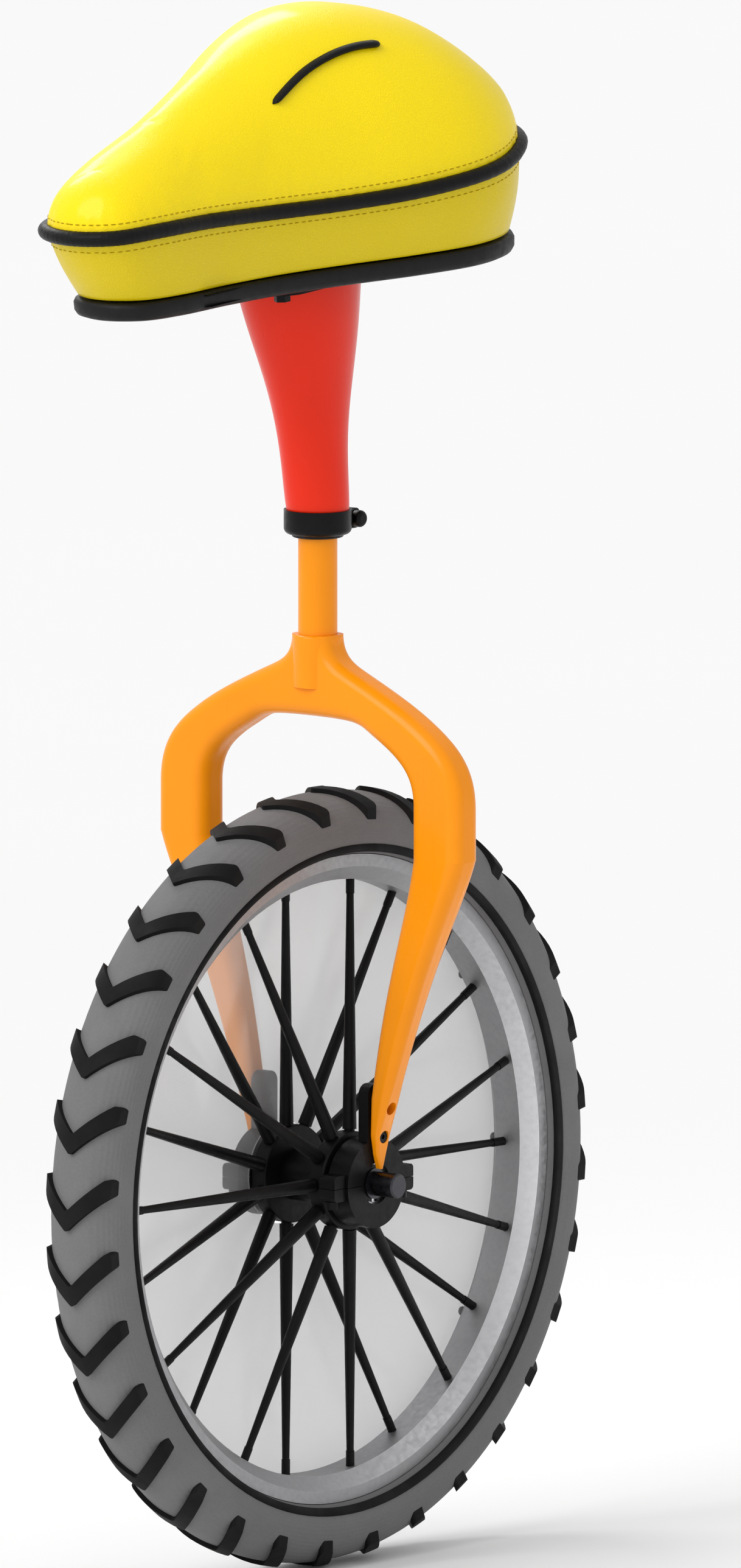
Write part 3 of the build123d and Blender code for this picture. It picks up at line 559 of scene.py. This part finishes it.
GATHER_PITCH, GATHER_DEPTH, GATHER_REACH = 11.0, 0.55, 9.0      # mm
GATHER_START = 1.5       # mm from the seam over which the gathers begin
SEAM_DIP, SEAM_DIP_REACH = 1.1, 3.5                             # mm


def pucker(thing):
    """Small uneven gathers in the cover where the seam pulls it in."""
    gap, run = seam_distance(thing)
    normals = np.array([v.normal[:] for v in thing.data.vertices])
    points = np.array([v.co[:] for v in thing.data.vertices])
    drift = 1.7 * np.sin(run * 37.0)
    swing = np.sin(run * 61.0 + 0.6)
    wave = np.sin(run / (GATHER_PITCH * MM) * 2 * math.pi + drift) * swing
    fade = np.exp(-gap / (GATHER_REACH * MM)) * (1 - np.exp(-gap / (GATHER_START * MM)))
    dip = -SEAM_DIP * MM * np.exp(-gap / (SEAM_DIP_REACH * MM))
    points += normals * (wave * fade * GATHER_DEPTH * MM + dip)[:, None]
    place_vertices(thing, points)


def subdivide(thing):
    modifier = thing.modifiers.new("finer", "SUBSURF")
    modifier.levels = modifier.render_levels = 1
    modifier.use_limit_surface = False
    graph = bpy.context.evaluated_depsgraph_get()
    data = bpy.data.meshes.new_from_object(thing.evaluated_get(graph))
    thing.modifiers.remove(modifier)
    thing.data = data


def part_of(thing, name, kind, material):
    """A copy of the body with only the faces of one kind."""
    mesh = bmesh.new()
    mesh.from_mesh(thing.data)
    layer = mesh.faces.layers.int.get("kind")
    bmesh.ops.delete(mesh, geom=[f for f in mesh.faces if f[layer] != kind], context="FACES")
    for face in mesh.faces:
        face.smooth = True
        face.material_index = 0
    return make_object(name, mesh, material)


body = saddle_body()
seams = KDTree(2 * AROUND)
for i, place in enumerate(np.concatenate([edge_line(AROUND), low_line(AROUND)])):
    seams.insert(place, i)
seams.balance()
ON_SEAM, OVER_BASE = 0.2 * MM, (PAN_HALF + 0.7) * MM
held = [
    v.index for v in body.data.vertices
    if seams.find(v.co)[2] < ON_SEAM or (v.co - SADDLE_ORIGIN).dot(EZ) < OVER_BASE
]
puff(body, held)
subdivide(body)
pucker(body)

cover = part_of(body, "saddle_top_cover", TOP, MATERIALS["yellow_vinyl"])
band = part_of(body, "saddle_side_panel", SIDE, MATERIALS["mustard_vinyl"])
bpy.data.objects.remove(body)
for piece, node_names, slot in (
    (cover, ("saddle_cover", "saddle_foam"), "yellow_vinyl"),
    (band, ("saddle_band",), "mustard_vinyl"),
):
    declare(piece, slot, *node_names)


# ---- piping, welts and stitches ---------------------------------------------
def tube(name, line, radii, material, closed=False, sides=14, flat=1.0):
    """A tube along points, with a radius for each; flat squeezes its height."""
    line = [Vector(p) for p in line]
    count = len(line)
    mesh = bmesh.new()
    rings = []
    for i, point in enumerate(line):
        before = line[i - 1] if i or closed else line[i]
        after = line[(i + 1) % count] if i < count - 1 or closed else line[i]
        along = (after - before).normalized()
        side = along.cross(Vector((0.0, 0.0, 1.0))).normalized()
        lift = side.cross(along).normalized()
        ring = []
        for k in range(sides):
            a = 2 * math.pi * k / sides
            out = side * math.cos(a) + lift * (math.sin(a) * flat)
            ring.append(mesh.verts.new(point + out * radii[i]))
        rings.append(ring)
    pairs = zip(rings, rings[1:] + rings[:1]) if closed else zip(rings, rings[1:])
    for a, b in pairs:
        for k in range(sides):
            n = (k + 1) % sides
            mesh.faces.new((a[k], a[n], b[n], b[k])).smooth = True
    if not closed:
        mesh.faces.new(rings[0][::-1])
        mesh.faces.new(rings[-1])
    return make_object(name, mesh, material)


PIPING_R, PIPING_UNEVEN = 4.9, 0.12
PIPING_OUT_X, PIPING_OUT_Y = 1.005, 1.01        # just outside the edge that it covers
PIPING_STEPS, PIPING_SIDES = 520, 18


def edge_piping():
    x, y = plan(np.arange(PIPING_STEPS) * 2 * math.pi / PIPING_STEPS)
    rise = smooth_through(EDGE_RISE, x)
    line = to_row(np.stack([x * PIPING_OUT_X, y * PIPING_OUT_Y, rise], 1))
    radii = [
        (PIPING_R + PIPING_UNEVEN * math.sin(i * 1.9) * math.sin(i * 0.37)) * MM
        for i in range(PIPING_STEPS)
    ]
    black = MATERIALS["black_vinyl"]
    made = tube("saddle_edge_piping", line, radii, black, closed=True, sides=PIPING_SIDES)
    declare(made, "black_vinyl", "saddle_piping")


edge_piping()

graph = bpy.context.evaluated_depsgraph_get()
cover_tree = BVHTree.FromObject(cover, graph)
band_tree = BVHTree.FromObject(band, graph)


def on_surface(tree, place, lift):
    """The surface's point nearest to a place, raised off it in mm, and its normal."""
    found, normal, _, _ = tree.find_nearest(Vector(place))
    if (found - SADDLE_ORIGIN).dot(normal) < 0:
        normal = -normal
    return found + normal * lift * MM, normal


STITCH, STITCH_GAP, STITCH_R = 3.6, 1.4, 0.42      # mm
STITCH_LIFT = 0.35       # share of its radius that a stitch stands off the cover


def stitches(name, tree, row):
    """Thread stitches lying on a surface along a closed row of points."""
    mesh = bmesh.new()
    line = [Vector(p) for p in row]
    left = 0.0
    for a, b in zip(line, line[1:] + line[:1]):
        span = (b - a).length
        along = (b - a).normalized()
        while left < span:
            middle, normal = on_surface(tree, a + along * left, STITCH_R * STITCH_LIFT)
            add_stitch(mesh, middle, along, normal, STITCH * MM / 2, STITCH_R * MM)
            left += (STITCH + STITCH_GAP) * MM
        left -= span
    return make_object(name, mesh, THREAD)


# place along a stitch, and share of its radius there
STITCH_PROFILE = ((-1.0, 0.15), (-0.8, 0.75), (0.0, 1.0), (0.8, 0.75), (1.0, 0.15))
STITCH_SIDES = 6
STITCH_DIVE = 0.9        # radii that its ends go in


def add_stitch(mesh, middle, along, normal, half, radius):
    """One spindle of thread whose ends dive into the cover."""
    side = along.cross(normal).normalized()
    rings = []
    for step, fat in STITCH_PROFILE:
        dive = abs(step) ** 3 * radius * STITCH_DIVE
        centre = middle + along * (step * half) - normal * dive
        ring = []
        for k in range(STITCH_SIDES):
            a = 2 * math.pi * k / STITCH_SIDES
            out = side * math.cos(a) + normal * math.sin(a)
            ring.append(mesh.verts.new(centre + out * radius * fat))
        rings.append(ring)
    for a, b in zip(rings, rings[1:]):
        for k in range(STITCH_SIDES):
            n = (k + 1) % STITCH_SIDES
            mesh.faces.new((a[k], a[n], b[n], b[k])).smooth = True
    mesh.faces.new(rings[0][::-1])
    mesh.faces.new(rings[-1])


THREAD = vinyl("yellow_thread", srgb(196, 165, 0), grain=2400.0, rough=0.6, coat=0.0)
ROW_STEPS = 700
TOP_ROW_RISE = 9.0       # mm above the piping's middle
BAND_ROW_DROP = 0.2      # share of the band's height
top_row = edge_line(ROW_STEPS) + np.array(EZ) * TOP_ROW_RISE * MM
upper = edge_line(ROW_STEPS)
lower = low_line(ROW_STEPS)
band_row = upper + (lower - upper) * BAND_ROW_DROP
for name, tree, row in (
    ("saddle_top_stitches", cover_tree, top_row),
    ("saddle_side_stitches", band_tree, band_row),
):
    declare(stitches(name, tree, row), "mustard_vinyl")

# ---- the sewn welt on the left of the crown -----------------------------------
WELT_FROM, WELT_TO = (-52.0, 60.0), (37.0, 43.0)
WELT_R = (5.4, 3.8)      # at its back and front ends
WELT_BOW = 4.0
WELT_STEPS = 40
WELT_ENDS = 16.0         # the round ends are each one sixteenth of its length
WELT_TIP = 0.12          # share of the radius left at the very end
WELT_LIFT = 0.3
WELT_FLAT = 0.5
WELT_RAY_FROM = 200.0    # a height over the crown


def welt():
    line, radii = [], []
    for i in range(WELT_STEPS + 1):
        s = i / WELT_STEPS
        x = WELT_FROM[0] + (WELT_TO[0] - WELT_FROM[0]) * s
        y = WELT_FROM[1] + (WELT_TO[1] - WELT_FROM[1]) * s - WELT_BOW * math.sin(math.pi * s)
        above = to_row([(x, y, WELT_RAY_FROM)])[0]
        found, _, _, _ = cover_tree.ray_cast(Vector(above), -EZ)
        line.append(found + EZ * WELT_LIFT * MM)
        into_end = min(1.0, min(s, 1 - s) * WELT_ENDS)
        rounded = math.sqrt(1 - (1 - into_end) ** 2)
        radius = WELT_R[0] + (WELT_R[1] - WELT_R[0]) * s
        radii.append(radius * max(rounded, WELT_TIP) * MM)
    made = tube("saddle_crown_welt", line, radii, MATERIALS["black_vinyl"], flat=WELT_FLAT)
    declare(made, "black_vinyl", "saddle_welt")


welt()

# ---- the saddle's moulded base, with a rolled lip ------------------------------
PAN_GROW = 3.0
# height, and how far in from the widest, round the lip from top to underside
LIP = (
    (6.0, 9.0),
    (6.2, 3.0),
    (5.4, 0.9),
    (3.0, 0.0),
    (-2.0, 0.2),
    (-4.8, 1.5),
    (-6.0, 4.0),
    (-5.6, 8.0),
    (-3.4, 11.0),
)
MIDDLE_INSET = 60.0
MIDDLE_TOP, MIDDLE_UNDER = 5.0, -3.0
EASE_Y = 12.0            # the inset fades out this near the centre line


def base_ring(height, inset):
    """One loop of the base, this far in from its widest outline."""
    x, y = low_outline(*plan(np.arange(AROUND) * 2 * math.pi / AROUND))
    grow = PAN_GROW - inset
    out_x = LOW_SHIFT + (x - LOW_SHIFT) * (1 + grow / (LOW_X * HALF_L))
    out_y = y + np.sign(y) * grow * np.minimum(1.0, np.abs(y) / EASE_Y)
    return to_row(np.stack([out_x, out_y, 0 * x + height], 1))


def saddle_base():
    mesh = bmesh.new()
    profile = ((MIDDLE_TOP, MIDDLE_INSET),) + LIP + ((MIDDLE_UNDER, MIDDLE_INSET),)
    rings = [base_ring(*step) for step in profile]
    rings = [[mesh.verts.new(p) for p in ring] for ring in rings]
    for a, b in zip(rings, rings[1:]):
        for i in range(AROUND):
            j = (i + 1) % AROUND
            mesh.faces.new((a[i], b[i], b[j], a[j])).smooth = True
    mesh.faces.new(rings[0][::-1])
    mesh.faces.new(rings[-1])
    made = make_object("saddle_base", mesh, MATERIALS["pan_plastic"])
    declare(made, "pan_plastic", "saddle_pan")


saddle_base()

# ---- light, floor and camera -------------------------------------------------
# the camera stands at the front left, far off, with a long lens
AZIMUTH, ELEVATION = math.radians(129.5), math.radians(8.0)
LEVEL = math.cos(ELEVATION)
BACK = Vector((math.sin(AZIMUTH) * LEVEL, -math.cos(AZIMUTH) * LEVEL, math.sin(ELEVATION)))
RIGHT = Vector((math.cos(AZIMUTH), math.sin(AZIMUTH), 0.0))
UP = BACK.cross(RIGHT)
LENS = 800.0
DISTANCE = 22.55
AIM_RIGHT, AIM_UP = 0.034, 0.505

camera_data = bpy.data.cameras.new("camera")
camera_data.lens = LENS
camera_data.clip_end = 200.0
camera = add_object("camera", camera_data)
target = RIGHT * AIM_RIGHT + UP * AIM_UP
turn = Matrix((RIGHT, UP, BACK)).transposed().to_4x4()
camera.matrix_world = Matrix.Translation(target + BACK * DISTANCE) @ turn
SCENE.camera = camera


def floor_material():
    look = Look("pale_floor", (0.92, 0.92, 0.92, 1.0), 0.75)
    look.tint(look.remap(look.noise(1.3, 3.0), 0.3, 0.7, 0.0, 0.4), 0.985)
    look.bump(look.noise(160.0, 2.0), 0.0002, 0.2)
    return look.material


HALF_FLOOR = 45.0
CORNERS = ((-1, -1), (1, -1), (1, 1), (-1, 1))
floor_mesh = bpy.data.meshes.new("floor")
floor_corners = [(HALF_FLOOR * x, HALF_FLOOR * y, 0.0) for x, y in CORNERS]
floor_mesh.from_pydata(floor_corners, [], [(0, 1, 2, 3)])
floor_mesh.materials.append(floor_material())
floor = add_object("floor", floor_mesh)

WHITE = (1.0, 1.0, 1.0, 1.0)
WORLD_STRENGTH = 0.74
world = bpy.data.worlds.new("studio")
world.use_nodes = True
background = world.node_tree.nodes["Background"]
background.inputs["Color"].default_value = WHITE
background.inputs["Strength"].default_value = WORLD_STRENGTH
SCENE.world = world


def point_at(thing, place, aim):
    thing.location = place
    thing.rotation_mode = "QUATERNION"
    thing.rotation_quaternion = (Vector(aim) - Vector(place)).to_track_quat("-Z", "Y")


KEY_FROM = BACK * 0.7 - RIGHT * 0.85 + Vector((0.0, 0.0, 0.8))
KEY_STRENGTH, KEY_SPREAD = 1.55, 40.0           # the spread is in degrees


def key_light():
    """A broad soft sun from the camera's left and above."""
    data = bpy.data.lights.new("key", "SUN")
    data.energy = KEY_STRENGTH
    data.angle = math.radians(KEY_SPREAD)
    point_at(add_object("key", data), KEY_FROM * 5.0, (0.0, 0.0, 0.0))


STRIP_SIZE = (0.7, 0.25)
STRIP_ENERGY = 5.0
STRIP_BEHIND, STRIP_LEFT, STRIP_UP = 0.75, 0.35, 0.6
CROWN_RISE = 0.05        # the crown's top above the middle of the cover's box


def crown_strip():
    """A strip behind and above the saddle, for the gloss on its crown."""
    data = bpy.data.lights.new("crown_strip", "AREA")
    data.shape = "RECTANGLE"
    data.size, data.size_y = STRIP_SIZE
    data.energy = STRIP_ENERGY
    strip = add_object("crown_strip", data)
    crown = centre_of("saddle_cover") + EZ * CROWN_RISE
    up = Vector((0.0, 0.0, STRIP_UP))
    point_at(strip, crown - BACK * STRIP_BEHIND - RIGHT * STRIP_LEFT + up, crown)
    strip.visible_camera = False


key_light()
crown_strip()

# a curved card, out of view, that the dished disc mirrors as a faint soft crescent
CARD_AWAY = 0.36
CARD_ANGLES = math.radians(-18.0), math.radians(81.0)
CARD_R = (0.73, 0.80)        # shares of the disc's radius, at the two ends
CARD_HALF = 0.07             # half the crescent's greatest width, the same way
CARD_TIP, CARD_TAPER = 0.02, 0.6
CARD_STEPS = 48
CARD_GLOW = 15.0
CARD_RAY_Y = 0.05            # the rays to the disc start this far left of the wheel's middle


def glint_card():
    """Each point lies where the camera's ray goes on from the disc's surface."""
    disc = BVHTree.FromObject(NODES["disc_cover"], bpy.context.evaluated_depsgraph_get())
    low, high = (Vector(corner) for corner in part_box("disc_cover"))
    radius = (high.z - low.z) / 2
    toward = Vector((0.0, -1.0, 0.0))
    mesh = bmesh.new()
    rows = []
    for i in range(CARD_STEPS + 1):
        s = i / CARD_STEPS
        angle = CARD_ANGLES[0] + (CARD_ANGLES[1] - CARD_ANGLES[0]) * s
        middle = CARD_R[0] + (CARD_R[1] - CARD_R[0]) * s
        half = CARD_HALF * max(math.sin(math.pi * s), CARD_TIP) ** CARD_TAPER
        row = []
        for r in (middle - half, middle + half):
            x = math.cos(angle) * r * radius
            z = AXLE_HEIGHT + math.sin(angle) * r * radius
            found, normal, _, _ = disc.ray_cast(Vector((x, CARD_RAY_Y, z)), toward)
            row.append(mesh.verts.new(found - BACK.reflect(normal) * CARD_AWAY))
        rows.append(row)
    for a, b in zip(rows, rows[1:]):
        mesh.faces.new((a[0], a[1], b[1], b[0]))
    glow = Look("card_glow", BLACK, 1.0, Emission_Color=WHITE, Emission_Strength=CARD_GLOW)
    card = make_object("glint_card", mesh, glow.material)
    for ray in ("camera", "diffuse", "transmission", "volume_scatter", "shadow"):
        setattr(card, "visible_" + ray, False)


glint_card()
SCENE.view_settings.view_transform = "Standard"
